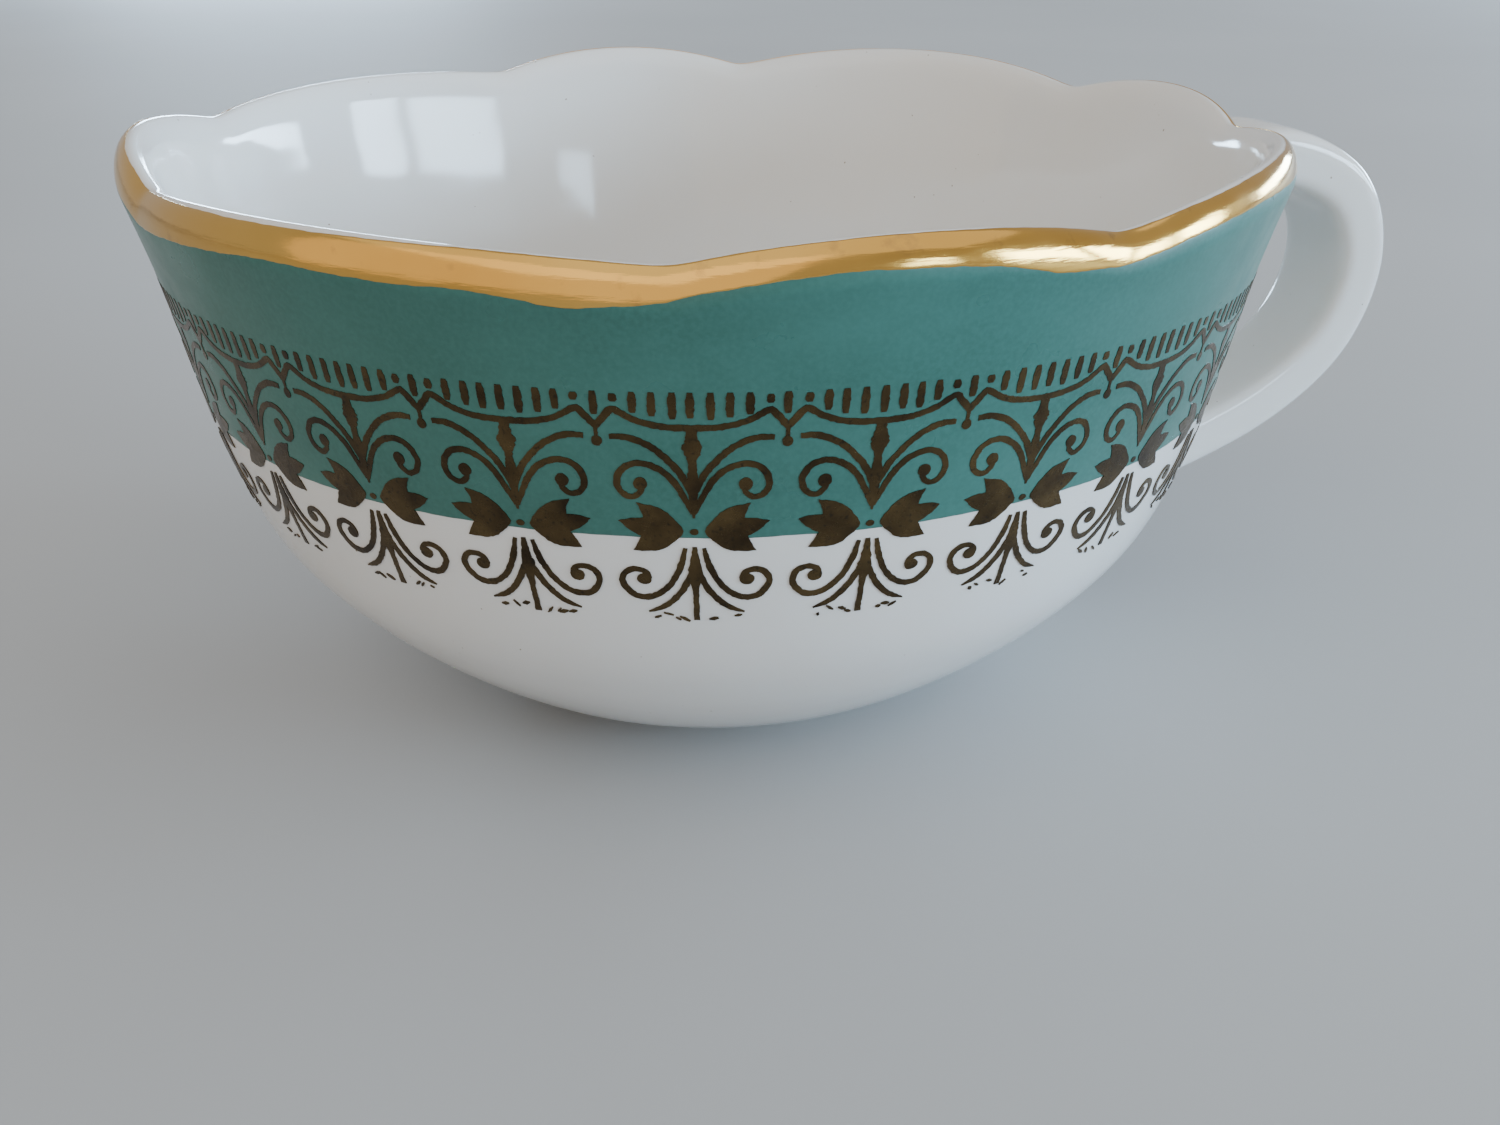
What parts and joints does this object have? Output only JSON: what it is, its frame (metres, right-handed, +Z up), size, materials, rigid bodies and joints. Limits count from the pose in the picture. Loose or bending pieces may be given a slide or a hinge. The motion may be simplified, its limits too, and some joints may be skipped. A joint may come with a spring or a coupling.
{
  "type": "teacup",
  "caption": "Round-bellied porcelain teacup with a lobed gilt rim, a band of coloured enamel round its wall, a low foot ring and a strap handle.",
  "frame": {"origin": "on the table, under the middle of the cup and its handle together", "axes": "+Z up out of the mouth, +X towards the handle, through the axis of the bowl"},
  "size_m": [0.126, 0.1036, 0.0541],
  "materials": {
    "glaze": "clear glossy glaze over white porcelain",
    "bare_clay": "unglazed, fine grained",
    "enamel": "glossy opaque turquoise enamel",
    "gilt": "bright burnished gilding, slightly worn"
  },
  "bodies": {
    "root": {"bowl": "glaze", "foot_ring": "bare_clay", "handle": "glaze", "upper_handle_joint": "glaze", "lower_handle_joint": "glaze", "enamel_band": "enamel", "gilt_rim": "gilt"}
  },
  "joints": []
}
